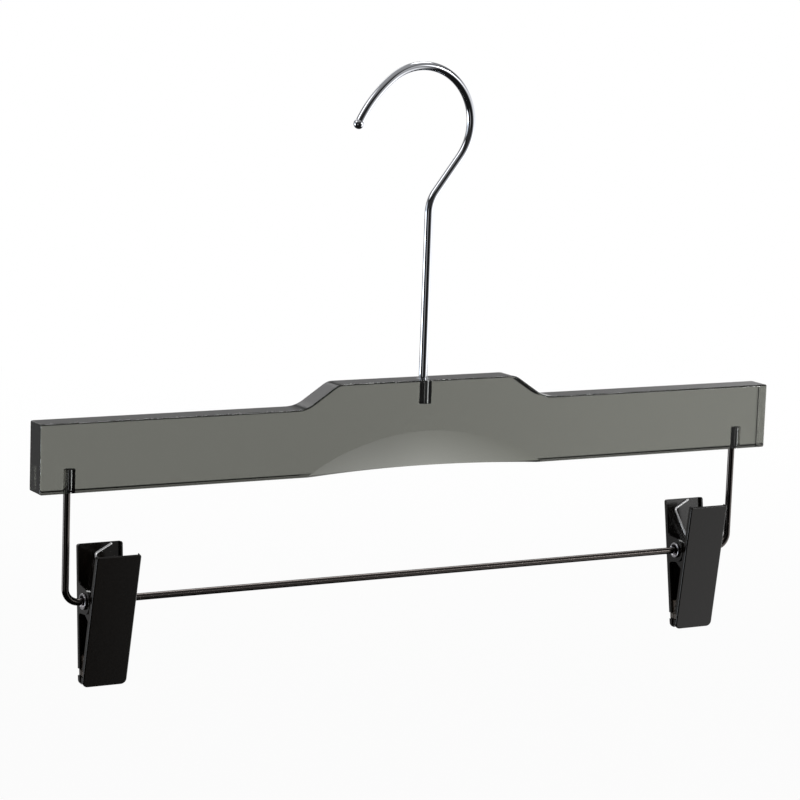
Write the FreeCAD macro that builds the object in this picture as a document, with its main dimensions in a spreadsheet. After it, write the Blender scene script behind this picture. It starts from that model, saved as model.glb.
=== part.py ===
"""Skirt hanger: a smoke acrylic bar on a swivel hook, with two spring clips on a wire rod.

Millimetres, +X along the bar, +Y to the back, +Z up. The origin is the rail seat: the point inside
the hook's loop, straight above the stem, where the hanger hangs level on a rail.
"""
import FreeCAD, Part
import math
import os
import Sketcher

Vector = FreeCAD.Vector
doc = FreeCAD.newDocument("SkirtHanger")
sheet = doc.addObject("Spreadsheet::Sheet", "Sizes")

# Driving dimensions, in millimetres, degrees or counts
DRIVING = [
    # Bar
    ("bar_length", 356.0), ("bar_thickness", 12.0), ("arm_height", 29.0),
    ("crown_rise", 10.0), ("crown_length", 87.0), ("crown_slope_run", 15.2),
    ("crown_top_radius", 7.5), ("crown_foot_radius", 14.0), ("bar_edge_radius", 0.8),
    ("scoop_chord", 117.0), ("scoop_rise", 17.2), ("scoop_depth", 4.0), ("scoop_edge_rise", 1.4),
    # Hook
    ("hook_wire", 3.8), ("hook_drop", 131.0), ("loop_radius", 24.0), ("loop_offset", 5.0),
    ("stem_lean", 37.0), ("stem_bend_radius", 15.0),
    ("flare_start", 128.0), ("flare_radius", 55.0), ("flare_turn", 26.0), ("tip_ball", 4.6),
    # Hook's sleeve and the crimp that keeps the hook in it
    ("hook_ferrule_diameter", 6.0), ("hook_ferrule_depth", 10.5), ("swivel_gap", 0.06),
    ("crimp_depth", 0.5), ("crimp_height", 1.2), ("crimp_level", 6.0), ("stem_end_gap", 0.6),
    # Rod and its sleeves
    ("rod_wire", 3.0), ("rod_inset", 14.0), ("rod_drop", 46.5), ("rod_bend_radius", 6.0),
    ("rod_ferrule_diameter", 5.2), ("rod_ferrule_depth", 9.5), ("rod_ferrule_floor", 0.8),
    ("press_gap", 0.02),
    # Clips near the rod's ends: a clip's swing turns its top to the front
    ("left_end_gap", 1.4), ("right_end_gap", 1.05), ("left_swing", 4.2), ("right_swing", -0.8),
    # Jaws: stamped channels; the front jaw's ears step in to pass between the rear jaw's
    ("jaw_width", 20.0), ("front_inset", 0.2), ("jaw_sheet", 0.8), ("jaw_stand", 7.8), ("jaw_lean", 8.6),
    ("handle_length", 22.9), ("bite_length", 35.8), ("handle_corner_radius", 1.0), ("tip_corner_radius", 2.4),
    ("jaw_edge_radius", 0.5), ("jaw_side_gap", 0.1),
    ("rear_lip", 2.2), ("rear_ear_radius", 5.4), ("rear_ear_slope", 13.0), ("rear_ear_fillet", 1.6),
    ("front_lip", 2.2), ("front_ear_radius", 5.2), ("front_ear_neck", 4.6), ("front_ear_slope", 22.0),
    ("ear_relief_gap", 0.35), ("notch_end", 4.1), ("notch_height", 2.9),
    # Eyelet: tubular rivet on the rod
    ("rod_slide_gap", 0.1), ("eyelet_tube", 5.0), ("eyelet_flange", 7.0), ("eyelet_roll", 0.95),
    ("eyelet_rim", 0.9), ("eyelet_rim_radius", 0.4), ("eyelet_flare", 1.6), ("eyelet_gap", 0.05),
    # Torsion spring round the eyelet
    ("spring_wire", 0.9), ("spring_gap", 0.15), ("spring_pitch", 1.36), ("spring_full_turns", 4),
    ("spring_arm_lean", 37.0), ("spring_end_length", 8.4), ("spring_end_rise", 27.0),
    ("spring_corner_radius", 1.2), ("left_spring_shift", 2.4), ("right_spring_shift", -0.5),
    # Grip pads inside the jaw tips
    ("pad_length", 10.8), ("pad_end_gap", 1.0), ("pad_side_gap", 0.2), ("pad_bite_gap", 0.3),
    ("pad_groove_count", 4), ("pad_groove_width", 1.2), ("pad_groove_depth", 0.5),
    ("pad_tab_reach", 0.6), ("pad_tab_gap", 0.2),
    # One overrun for all cuts
    ("overrun", 1.0),
]

# Places and sizes that follow from the driving dimensions
DERIVED = [
    ("half_length", "bar_length / 2"),
    ("half_thickness", "bar_thickness / 2"),
    ("crown_z", "-hook_drop"),
    ("arm_z", "crown_z - crown_rise"),
    ("bar_bottom_z", "arm_z - arm_height"),
    ("crown_half", "crown_length / 2"),
    ("crown_foot_half", "crown_half + crown_slope_run"),
    # The scoop is a cone about an axis along Y, far below the bar
    ("scoop_radius", "(scoop_chord ^ 2 / 4 + scoop_rise ^ 2) / (2 * scoop_rise)"),
    ("scoop_axis_z", "bar_bottom_z + scoop_rise - scoop_radius"),
    ("scoop_low_radius", "scoop_radius - scoop_rise - overrun"),
    ("scoop_low_depth", "scoop_depth * (scoop_rise + overrun) / scoop_rise"),
    ("scoop_low_y", "scoop_low_depth - half_thickness"),
    ("scoop_out_y", "half_thickness + overrun"),
    # The lower edge under the scoop rises in a shallow arch
    ("scoop_edge_radius", "(scoop_chord ^ 2 / 4 + scoop_edge_rise ^ 2) / (2 * scoop_edge_rise)"),
    ("scoop_edge_z", "bar_bottom_z + scoop_edge_rise - scoop_edge_radius"),
    # Hook's bent line, from the stem up to the tip
    ("hook_half_wire", "hook_wire / 2"),
    ("loop_z", "-sqrt((loop_radius - hook_half_wire) ^ 2 - loop_offset ^ 2)"),
    ("loop_start_x", "loop_radius * cos(stem_lean) - loop_offset"),
    ("loop_start_z", "loop_z - loop_radius * sin(stem_lean)"),
    ("stem_bend_z", "loop_start_z - loop_start_x / tan(stem_lean)"),
    ("stem_bend_tangent", "stem_bend_radius * tan(stem_lean / 2)"),
    ("stem_top_z", "stem_bend_z - stem_bend_tangent"),
    ("bend_end_x", "stem_bend_tangent * sin(stem_lean)"),
    ("bend_end_z", "stem_bend_z + stem_bend_tangent * cos(stem_lean)"),
    ("loop_end_x", "loop_radius * cos(flare_start) - loop_offset"),
    ("loop_end_z", "loop_z + loop_radius * sin(flare_start)"),
    ("flare_centre_x", "loop_end_x - flare_radius * cos(flare_start)"),
    ("flare_centre_z", "loop_end_z - flare_radius * sin(flare_start)"),
    ("tip_x", "flare_centre_x + flare_radius * cos(flare_start + flare_turn)"),
    ("tip_z", "flare_centre_z + flare_radius * sin(flare_start + flare_turn)"),
    ("tip_ball_radius", "tip_ball / 2"),
    # Swivel: the sleeve's crimp stands in a groove of the stem
    ("hook_ferrule_radius", "hook_ferrule_diameter / 2"),
    ("hook_bore_radius", "hook_half_wire + swivel_gap"),
    ("hook_pocket_radius", "hook_ferrule_radius + press_gap"),
    ("hook_ferrule_low_z", "crown_z - hook_ferrule_depth"),
    ("stem_low_z", "hook_ferrule_low_z + stem_end_gap"),
    ("crimp_radius", "hook_bore_radius - crimp_depth"),
    ("crimp_low_z", "crown_z - crimp_level - crimp_height"),
    ("crimp_high_z", "crown_z - crimp_level"),
    ("stem_neck_radius", "crimp_radius - swivel_gap"),
    ("stem_neck_low_z", "crimp_low_z - swivel_gap"),
    ("stem_neck_high_z", "crimp_high_z + swivel_gap"),
    ("stem_cut_radius", "hook_half_wire + overrun"),
    # Rod's bent line
    ("rod_radius", "rod_wire / 2"),
    ("rod_half_span", "half_length - rod_inset"),
    ("rod_straight_half", "rod_half_span - rod_bend_radius"),
    ("rod_z", "bar_bottom_z - rod_drop"),
    ("rod_bend_z", "rod_z + rod_bend_radius"),
    ("rod_ferrule_radius", "rod_ferrule_diameter / 2"),
    ("rod_bore_radius", "rod_radius + press_gap"),
    ("rod_pocket_radius", "rod_ferrule_radius + press_gap"),
    ("rod_ferrule_top_z", "bar_bottom_z + rod_ferrule_depth"),
    ("rod_bore_top_z", "rod_ferrule_top_z - rod_ferrule_floor"),
    ("rod_end_z", "rod_bore_top_z - press_gap"),
    # Clips
    ("jaw_inner", "jaw_stand - jaw_sheet"),
    ("jaw_middle", "jaw_stand - jaw_sheet / 2"),
    ("rear_half_width", "jaw_width / 2"),
    ("rear_inner_half", "rear_half_width - jaw_sheet"),
    ("front_half_width", "rear_half_width - front_inset"),
    ("front_inner_half", "front_half_width - jaw_sheet"),
    ("front_width", "2 * front_half_width"),
    ("front_ear_half", "rear_inner_half - jaw_side_gap"),
    ("front_ear_inner_half", "front_ear_half - jaw_sheet"),
    ("front_ear_width", "2 * front_ear_half"),
    ("rear_lip_y", "jaw_stand - rear_lip"),
    ("front_lip_y", "jaw_stand - front_lip"),
    ("jaw_clear_y", "rear_ear_radius + front_ear_radius"),
    # An ear's sloping edge runs from the lip to where it touches the ear's round end
    ("rear_touch_y", "rear_ear_radius * sin(rear_ear_slope)"),
    ("rear_touch_z", "rear_ear_radius * cos(rear_ear_slope)"),
    ("rear_root_z", "rear_touch_z + (rear_lip_y + rear_touch_y) * tan(rear_ear_slope)"),
    ("front_touch_y", "front_ear_radius * sin(front_ear_slope)"),
    ("front_touch_z", "front_ear_radius * cos(front_ear_slope)"),
    ("front_root_z", "front_touch_z + (jaw_middle + front_touch_y) * tan(front_ear_slope)"),
    ("ear_relief_radius", "rear_ear_radius + ear_relief_gap"),
    ("notch_low", "bite_length - notch_end"),
    ("notch_top", "notch_low - notch_height"),
    ("notch_out", "rear_half_width + overrun"),
    ("eyelet_radius", "eyelet_tube / 2"),
    ("eyelet_hole_radius", "eyelet_radius + eyelet_gap"),
    ("eyelet_bore_radius", "rod_radius + rod_slide_gap"),
    ("eyelet_flange_radius", "eyelet_flange / 2"),
    ("eyelet_neck_half", "rear_half_width + eyelet_gap"),
    ("eyelet_half", "eyelet_neck_half + eyelet_rim"),
    ("eyelet_mouth_radius", "eyelet_flange_radius - eyelet_roll"),
    ("eyelet_throat_half", "eyelet_half - eyelet_flare"),
    ("left_clip_x", "eyelet_half + left_end_gap - rod_straight_half"),
    ("right_clip_x", "rod_straight_half - eyelet_half - right_end_gap"),
    # Pads: the back follows the leaning jaw, the face stands upright beside the other pad
    ("pad_low", "bite_length - pad_end_gap"),
    ("pad_top", "pad_low - pad_length"),
    ("pad_width", "2 * (front_inner_half - pad_side_gap)"),
    ("pad_back_inner", "jaw_inner - press_gap"),
    ("pad_face_y", "pad_bite_gap / 2"),
    ("pad_top_back_y", "(pad_back_inner - pad_top * sin(jaw_lean)) / cos(jaw_lean)"),
    ("pad_low_back_y", "(pad_back_inner - pad_low * sin(jaw_lean)) / cos(jaw_lean)"),
    # Side tabs that stand in the jaws' notches
    ("pad_tab_width", "2 * (front_inner_half + pad_tab_reach)"),
    ("pad_tab_top", "notch_top * cos(jaw_lean) + jaw_inner * sin(jaw_lean) + pad_tab_gap"),
    ("pad_tab_low", "notch_low * cos(jaw_lean) + rear_lip_y * sin(jaw_lean) - pad_tab_gap"),
    ("pad_tab_top_y", "(pad_back_inner - pad_tab_top * sin(jaw_lean)) / cos(jaw_lean)"),
    ("pad_tab_low_y", "(pad_back_inner - pad_tab_low * sin(jaw_lean)) / cos(jaw_lean)"),
    ("pad_groove_step", "(pad_low - pad_top) / (pad_groove_count + 1)"),
    ("pad_groove_span", "pad_groove_step * (pad_groove_count - 1)"),
    ("pad_groove_z", "pad_top + pad_groove_step"),
    ("pad_groove_top", "pad_groove_z - pad_groove_width / 2"),
    ("pad_groove_low", "pad_groove_z + pad_groove_width / 2"),
    ("pad_groove_y", "pad_face_y + pad_groove_depth"),
    ("pad_cut_y", "overrun"),
]


def fill_sheet():
    """Column A names each size, column B holds its number or formula under that alias."""
    for row, (alias, content) in enumerate(DRIVING + DERIVED, start=1):
        sheet.set("A%d" % row, alias)
        sheet.set("B%d" % row, "=" + content if isinstance(content, str) else str(content))
        sheet.setAlias("B%d" % row, alias)
    doc.recompute()


def value(name):
    """The number in a cell; a leading minus sign turns it."""
    if name == "0":
        return 0.0
    sign = -1.0 if name.startswith("-") else 1.0
    return sign * float(sheet.get(name.lstrip("-")))


def cell(name):
    """The expression that binds a property to a cell."""
    return "-Sizes." + name[1:] if name.startswith("-") else "Sizes." + name


def same(name):
    return name


def turned(name):
    """The same cell with the other sign."""
    return name[1:] if name.startswith("-") else "-" + name


fill_sheet()


# Sketches and features

def new_body(label):
    body = doc.addObject("PartDesign::Body", label)
    body.Label = label
    return body


def new_sketch(body, name, plane, level=None):
    """A sketch on one of the body's origin planes, moved along the plane's normal by a cell."""
    sketch = body.newObject("Sketcher::SketchObject", name)
    support = [item for item in body.Origin.OriginFeatures if item.Role == plane][0]
    sketch.AttachmentSupport = [(support, "")]
    sketch.MapMode = "FlatFace"
    if level:
        sketch.setExpression("AttachmentOffset.Base.z", cell(level))
    return sketch


def pin(sketch, item, end, x, y):
    """Dimension one point of a sketch from the sketch's origin."""
    for kind, name, axis in (("DistanceX", x, -2), ("DistanceY", y, -1)):
        if name == "0":
            sketch.addConstraint(Sketcher.Constraint("PointOnObject", item, end, axis))
        else:
            index = sketch.addConstraint(Sketcher.Constraint(kind, -1, 1, item, end, value(name)))
            sketch.setExpression("Constraints[%d]" % index, cell(name))


def outline(sketch, points):
    """A closed outline of straight lines through points named by their cells."""
    first = sketch.GeometryCount
    count = len(points)
    corners = [Vector(value(x), value(y), 0) for x, y in points]
    for a, b in zip(corners, corners[1:] + corners[:1]):
        sketch.addGeometry(Part.LineSegment(a, b))
    for i in range(count):
        sketch.addConstraint(Sketcher.Constraint("Coincident", first + i, 2, first + (i + 1) % count, 1))
    for i, (x, y) in enumerate(points):
        pin(sketch, first + i, 1, x, y)


def disc(sketch, x, y, radius):
    """A circle whose centre and radius are cells."""
    item = sketch.addGeometry(Part.Circle(Vector(value(x), value(y), 0), Vector(0, 0, 1), value(radius)))
    pin(sketch, item, 3, x, y)
    index = sketch.addConstraint(Sketcher.Constraint("Radius", item, value(radius)))
    sketch.setExpression("Constraints[%d]" % index, cell(radius))


def bent_line(sketch, points, bends):
    """An open line through points; bends maps a stretch's number to its radius and arc centre."""
    places = [Vector(value(x), value(y), 0) for x, y in points]
    ends = []
    for i, (a, b) in enumerate(zip(places, places[1:])):
        if i in bends:
            radius, centre_x, centre_y = bends[i]
            centre = Vector(value(centre_x), value(centre_y), 0)
            middle = (a - centre) + (b - centre)
            middle.Length = value(radius)
            item = sketch.addGeometry(Part.Arc(a, centre + middle, b))
            index = sketch.addConstraint(Sketcher.Constraint("Radius", item, value(radius)))
            sketch.setExpression("Constraints[%d]" % index, cell(radius))
        else:
            item = sketch.addGeometry(Part.LineSegment(a, b))
        starts_here = sketch.getPoint(item, 1).distanceToPoint(a) < sketch.getPoint(item, 2).distanceToPoint(a)
        ends.append((item, 1, 2) if starts_here else (item, 2, 1))
    for (item, _, last), (follower, first, _) in zip(ends, ends[1:]):
        sketch.addConstraint(Sketcher.Constraint("Coincident", item, last, follower, first))
    for (item, first, _), (x, y) in zip(ends, points):
        pin(sketch, item, first, x, y)
    pin(sketch, ends[-1][0], ends[-1][2], *points[-1])


def pad(body, name, sketch, length, symmetric=True):
    feature = body.newObject("PartDesign::Pad", name)
    feature.Profile = sketch
    feature.SideType = "Symmetric" if symmetric else "One side"
    feature.setExpression("Length", cell(length))
    doc.recompute()
    return feature


def cut_through(body, name, sketch):
    feature = body.newObject("PartDesign::Pocket", name)
    feature.Profile = sketch
    feature.Type = "ThroughAll"
    feature.SideType = "Symmetric"
    doc.recompute()
    return feature


def blind_hole(body, name, sketch, depth, towards_normal):
    """A pocket of a given depth from the sketch, along its normal or against it."""
    feature = body.newObject("PartDesign::Pocket", name)
    feature.Profile = sketch
    feature.Reversed = towards_normal
    feature.setExpression("Length", cell(depth))
    doc.recompute()
    return feature


def turn(body, name, sketch, kind, axis):
    """A full revolution or groove of a sketch about one of its own axes."""
    feature = body.newObject("PartDesign::" + kind, name)
    feature.Profile = sketch
    feature.ReferenceAxis = (sketch, [axis])
    doc.recompute()
    return feature


def sweep(body, name, profile, spine):
    feature = body.newObject("PartDesign::AdditivePipe", name)
    feature.Profile = profile
    feature.Spine = spine
    doc.recompute()
    return feature


def round_edges(body, name, base, wanted, radius):
    """A fillet on the edges of a feature whose end points all pass a test."""
    names = []
    for i, edge in enumerate(base.Shape.Edges, start=1):
        if wanted([v.Point for v in edge.Vertexes]):
            names.append("Edge%d" % i)
    feature = body.newObject("PartDesign::Fillet", name)
    feature.Base = (base, names)
    feature.setExpression("Radius", cell(radius))
    doc.recompute()
    return feature


def near(a, b):
    return math.isclose(a, b, abs_tol=1e-5)


# Acrylic bar: sawn from sheet, with a raised middle, polished edges and drilled blind bores

def make_bar():
    body = new_body("acrylic_bar")
    plan = new_sketch(body, "BarOutline", "XZ_Plane")
    right = [("half_length", "bar_bottom_z"), ("half_length", "arm_z"),
             ("crown_foot_half", "arm_z"), ("crown_half", "crown_z")]
    left = [(turned(x), z) for x, z in reversed(right)]
    outline(plan, right + left)
    block = pad(body, "BarBlock", plan, "bar_thickness")

    def corner_at(x, z):
        return lambda ends: near(ends[0].x, ends[-1].x) and all(
            near(abs(p.x), value(x)) and near(p.z, value(z)) for p in ends)

    tops = round_edges(body, "CrownTopFillet", block, corner_at("crown_half", "crown_z"), "crown_top_radius")
    feet = round_edges(body, "CrownFootFillet", tops, corner_at("crown_foot_half", "arm_z"), "crown_foot_radius")

    def on_face_or_end(ends):
        on_face = all(near(p.y, ends[0].y) for p in ends)
        return on_face or all(near(abs(p.x), value("half_length")) for p in ends)

    round_edges(body, "EdgePolish", feet, on_face_or_end, "bar_edge_radius")

    scoop = new_sketch(body, "ScoopProfile", "YZ_Plane")
    scoop.setExpression("AttachmentOffset.Base.y", cell("scoop_axis_z"))
    outline(scoop, [("-half_thickness", "scoop_radius"), ("-scoop_out_y", "scoop_radius"),
                    ("-scoop_out_y", "scoop_low_radius"), ("scoop_low_y", "scoop_low_radius")])
    turn(body, "Scoop", scoop, "Groove", "H_Axis")
    arch = new_sketch(body, "ScoopArchPlan", "XZ_Plane")
    disc(arch, "0", "scoop_edge_z", "scoop_edge_radius")
    cut_through(body, "ScoopArch", arch)

    hook_bore = new_sketch(body, "HookBorePlan", "XY_Plane", "crown_z")
    disc(hook_bore, "0", "0", "hook_pocket_radius")
    blind_hole(body, "HookBore", hook_bore, "hook_ferrule_depth", False)

    rod_bores = new_sketch(body, "RodBorePlan", "XY_Plane", "bar_bottom_z")
    for x in ("rod_half_span", "-rod_half_span"):
        disc(rod_bores, x, "0", "rod_pocket_radius")
    blind_hole(body, "RodBores", rod_bores, "rod_ferrule_depth", True)
    return body


# Hook: one bent chrome wire with a ball at its tip and a neck for the crimp

def make_hook():
    body = new_body("hook")
    line = new_sketch(body, "HookLine", "XZ_Plane")
    bent_line(line, [("0", "stem_low_z"), ("0", "stem_top_z"), ("bend_end_x", "bend_end_z"),
                     ("loop_start_x", "loop_start_z"), ("loop_end_x", "loop_end_z"), ("tip_x", "tip_z")],
              {1: ("stem_bend_radius", "stem_bend_radius", "stem_top_z"),
               3: ("loop_radius", "-loop_offset", "loop_z"),
               4: ("flare_radius", "flare_centre_x", "flare_centre_z")})
    section = new_sketch(body, "HookSection", "XY_Plane", "stem_low_z")
    disc(section, "0", "0", "hook_half_wire")
    sweep(body, "HookWire", section, line)

    ball = body.newObject("PartDesign::AdditiveSphere", "TipBall")
    ball.setExpression("Radius", cell("tip_ball_radius"))
    ball.setExpression("Placement.Base.x", cell("tip_x"))
    ball.setExpression("Placement.Base.z", cell("tip_z"))
    doc.recompute()

    neck = new_sketch(body, "NeckProfile", "XZ_Plane")
    outline(neck, [("stem_neck_radius", "stem_neck_low_z"), ("stem_cut_radius", "stem_neck_low_z"),
                   ("stem_cut_radius", "stem_neck_high_z"), ("stem_neck_radius", "stem_neck_high_z")])
    turn(body, "StemNeck", neck, "Groove", "V_Axis")
    return body


# Hook's sleeve: pressed into the bar, crimped round the stem's neck

def make_hook_ferrule():
    body = new_body("hook_ferrule")
    wall = new_sketch(body, "SleeveProfile", "XZ_Plane")
    outline(wall, [("hook_ferrule_radius", "hook_ferrule_low_z"), ("hook_ferrule_radius", "crown_z"),
                   ("hook_bore_radius", "crown_z"), ("hook_bore_radius", "crimp_high_z"),
                   ("crimp_radius", "crimp_high_z"), ("crimp_radius", "crimp_low_z"),
                   ("hook_bore_radius", "crimp_low_z"), ("hook_bore_radius", "hook_ferrule_low_z")])
    turn(body, "Sleeve", wall, "Revolution", "V_Axis")
    return body


# Rod: one wire bent to a wide U, with its legs up in the bar

def make_rod():
    body = new_body("clip_rod")
    line = new_sketch(body, "RodLine", "XZ_Plane")
    bent_line(line, [("-rod_half_span", "rod_end_z"), ("-rod_half_span", "rod_bend_z"),
                     ("-rod_straight_half", "rod_z"), ("rod_straight_half", "rod_z"),
                     ("rod_half_span", "rod_bend_z"), ("rod_half_span", "rod_end_z")],
              {1: ("rod_bend_radius", "-rod_straight_half", "rod_bend_z"),
               3: ("rod_bend_radius", "rod_straight_half", "rod_bend_z")})
    section = new_sketch(body, "RodSection", "XY_Plane", "rod_end_z")
    disc(section, "-rod_half_span", "0", "rod_radius")
    sweep(body, "RodWire", section, line)
    return body


# Rod's sleeves: closed at the top, pressed into the bar's underside

def make_rod_ferrule(label, x):
    body = new_body(label)
    wall = new_sketch(body, "SleeveProfile", "XZ_Plane")
    outline(wall, [("rod_ferrule_radius", "bar_bottom_z"), ("rod_ferrule_radius", "rod_ferrule_top_z"),
                   ("0", "rod_ferrule_top_z"), ("0", "rod_bore_top_z"),
                   ("rod_bore_radius", "rod_bore_top_z"), ("rod_bore_radius", "bar_bottom_z")])
    turn(body, "Sleeve", wall, "Revolution", "V_Axis")
    body.setExpression("Placement.Base.x", cell(x))
    return body


# Clip pieces are drawn about the pivot, then set on the rod and turned about it

def set_on_rod(piece, x, angle):
    piece.Placement = FreeCAD.Placement(Vector(value(x), 0, value("rod_z")),
                                        FreeCAD.Rotation(Vector(1, 0, 0), angle))


# Eyelet: silver tubular rivet with a rolled rim at each end, free to slide on the rod

def make_eyelet(label, x):
    body = new_body(label)
    wall = new_sketch(body, "EyeletProfile", "XY_Plane")
    right = [("eyelet_neck_half", "eyelet_radius"), ("eyelet_neck_half", "eyelet_flange_radius"),
             ("eyelet_half", "eyelet_flange_radius"), ("eyelet_half", "eyelet_mouth_radius"),
             ("eyelet_throat_half", "eyelet_bore_radius")]
    left = [(turned(along), radius) for along, radius in reversed(right)]
    outline(wall, right + left)
    tube = turn(body, "EyeletTube", wall, "Revolution", "H_Axis")
    round_edges(body, "RolledRim", tube, lambda ends: all(near(abs(p.x), value("eyelet_half")) for p in ends),
                "eyelet_rim_radius")
    set_on_rod(body, x, 0)
    return body


# Jaws: a flat plate with a lip down each side, round ears at the pivot and notches for the pads' tabs

def hollow_out(body, name, half, floor, mouth):
    """Empties the channel between its two side walls, down to the plate."""
    plan = new_sketch(body, name + "Plan", "XY_Plane")
    outline(plan, [(half, floor), (turned(half), floor), (turned(half), mouth), (half, mouth)])
    cut_through(body, name, plan)


def make_channel(body, side, kind):
    """A plate with a lip along both sides, before it is hollowed; side turns the front jaw's about."""
    stand = side("jaw_stand")
    lip = side(kind + "_lip_y")
    profile = new_sketch(body, "ChannelProfile", "YZ_Plane")
    outline(profile, [(stand, "-bite_length"), (stand, "handle_length"), (lip, "handle_length"),
                      (lip, "-bite_length")])
    block = pad(body, "ChannelBlock", profile, "jaw_width" if kind == "rear" else "front_width")
    half = value(kind + "_half_width")

    def corner_at(level):
        return lambda ends: near(ends[0].x, ends[-1].x) and all(
            near(abs(p.x), half) and near(p.z, level) for p in ends)

    top = round_edges(body, "HandleCorners", block, corner_at(value("handle_length")), "handle_corner_radius")
    tip = round_edges(body, "TipCorners", top, corner_at(-value("bite_length")), "tip_corner_radius")
    round_edges(body, "PlateEdge", tip, lambda ends: all(near(p.y, value(stand)) for p in ends),
                "jaw_edge_radius")


def make_ears(body, points, radius, width):
    """A block from the plate to the pivot, ended by a round about the pivot."""
    profile = new_sketch(body, "EarProfile", "YZ_Plane")
    outline(profile, points)
    pad(body, "EarBlock", profile, width)
    round_end = new_sketch(body, "EarRound", "YZ_Plane")
    disc(round_end, "0", "0", radius)
    return pad(body, "EarDisc", round_end, width)


def make_pivot_hole(body):
    hole = new_sketch(body, "PivotHolePlan", "YZ_Plane")
    disc(hole, "0", "0", "eyelet_hole_radius")
    cut_through(body, "PivotHole", hole)


def make_rear_jaw(label, x, angle):
    body = new_body(label)
    make_channel(body, same, "rear")
    ears = make_ears(body, [("jaw_middle", "-rear_ear_radius"), ("jaw_middle", "rear_root_z"),
                            ("rear_lip_y", "rear_root_z"), ("-rear_touch_y", "rear_touch_z"),
                            ("0", "-rear_ear_radius")], "rear_ear_radius", "jaw_width")
    roots = (value("rear_root_z"), -value("rear_ear_radius"))

    def at_root(ends):
        on_lip = all(near(p.y, value("rear_lip_y")) for p in ends)
        return on_lip and any(all(near(p.z, z) for p in ends) for z in roots)

    round_edges(body, "EarRootFillet", ears, at_root, "rear_ear_fillet")
    hollow_out(body, "Channel", "rear_inner_half", "jaw_inner", "-jaw_clear_y")
    make_pivot_hole(body)
    # These notches go through lip and bend
    notches = new_sketch(body, "NotchPlan", "XZ_Plane")
    for near_x, far_x in (("rear_inner_half", "notch_out"), ("-rear_inner_half", "-notch_out")):
        outline(notches, [(near_x, "-notch_low"), (far_x, "-notch_low"), (far_x, "-notch_top"),
                          (near_x, "-notch_top")])
    cut_through(body, "Notches", notches)
    set_on_rod(body, x, angle)
    return body


def make_front_jaw(label, x, angle):
    body = new_body(label)
    make_channel(body, turned, "front")
    hollow_out(body, "LipChannel", "front_inner_half", "-jaw_inner", "jaw_clear_y")
    # The lips give way to the rear jaw's ears before the narrower front ears go in
    relief = new_sketch(body, "EarReliefPlan", "YZ_Plane")
    disc(relief, "0", "0", "ear_relief_radius")
    cut_through(body, "EarRelief", relief)
    make_ears(body, [("-jaw_middle", "-front_root_z"), ("-jaw_middle", "front_ear_neck"),
                     ("0", "front_ear_neck"), ("front_touch_y", "-front_touch_z")],
              "front_ear_radius", "front_ear_width")
    hollow_out(body, "EarChannel", "front_ear_inner_half", "-jaw_inner", "jaw_clear_y")
    make_pivot_hole(body)
    notches = new_sketch(body, "NotchPlan", "YZ_Plane")
    outline(notches, [("-jaw_inner", "-notch_low"), ("-jaw_inner", "-notch_top"), ("0", "-notch_top"),
                      ("0", "-notch_low")])
    cut_through(body, "Notches", notches)
    set_on_rod(body, x, angle)
    return body


# Pads: black rubber wedges, with grooves across the face that grips

def make_pad(label, side, x, angle):
    body = new_body(label)
    wedge = new_sketch(body, "WedgeProfile", "YZ_Plane")
    outline(wedge, [(side("pad_face_y"), "-pad_top"), (side("pad_top_back_y"), "-pad_top"),
                    (side("pad_low_back_y"), "-pad_low"), (side("pad_face_y"), "-pad_low")])
    pad(body, "Wedge", wedge, "pad_width")
    tab = new_sketch(body, "TabProfile", "YZ_Plane")
    outline(tab, [(side("pad_face_y"), "-pad_tab_top"), (side("pad_tab_top_y"), "-pad_tab_top"),
                  (side("pad_tab_low_y"), "-pad_tab_low"), (side("pad_face_y"), "-pad_tab_low")])
    pad(body, "SideTabs", tab, "pad_tab_width")
    notch = new_sketch(body, "GrooveProfile", "YZ_Plane")
    outline(notch, [(side("-pad_cut_y"), "-pad_groove_top"), (side("pad_face_y"), "-pad_groove_top"),
                    (side("pad_groove_y"), "-pad_groove_z"), (side("pad_face_y"), "-pad_groove_low"),
                    (side("-pad_cut_y"), "-pad_groove_low")])
    groove = cut_through(body, "GripGroove", notch)
    row = body.newObject("PartDesign::LinearPattern", "GripGrooves")
    row.Originals = [groove]
    row.Direction = (notch, ["V_Axis"])
    row.Reversed = True
    row.setExpression("Length", cell("pad_groove_span"))
    row.setExpression("Occurrences", cell("pad_groove_count"))
    body.Tip = row
    doc.recompute()
    set_on_rod(body, x, angle)
    return body


# Torsion spring: coil round the eyelet, crossed arms up to the handles, ends bent to lie on them

def rounded_corner(before, corner, after, radius):
    """The two tangent points and the middle of an arc that rounds a corner."""
    back = (before - corner).normalize()
    ahead = (after - corner).normalize()
    half = back.getAngle(ahead) / 2
    reach = radius / math.tan(half)
    bisector = (back + ahead).normalize()
    start = corner + back * reach
    end = corner + ahead * reach
    middle = corner + bisector * (radius / math.sin(half) - radius)
    return start, middle, end


def arc_to_tangents(start, corner, end):
    """The arc from start to end whose end tangents meet at corner."""
    chord_middle = (start + end) / 2
    rise = corner - chord_middle
    half_chord = start.distanceToPoint(end) / 2
    angle = math.atan2(rise.Length, half_chord)
    return Part.Arc(start, chord_middle + rise.normalize() * (half_chord * math.tan(angle / 2)), end)


def helix_point(angle, radius, climb):
    """A point and its direction on a coil about X, centred on the pivot."""
    place = Vector(climb * angle, radius * math.cos(angle), radius * math.sin(angle))
    heading = Vector(climb, -radius * math.sin(angle), radius * math.cos(angle)).normalize()
    return place, heading


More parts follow.
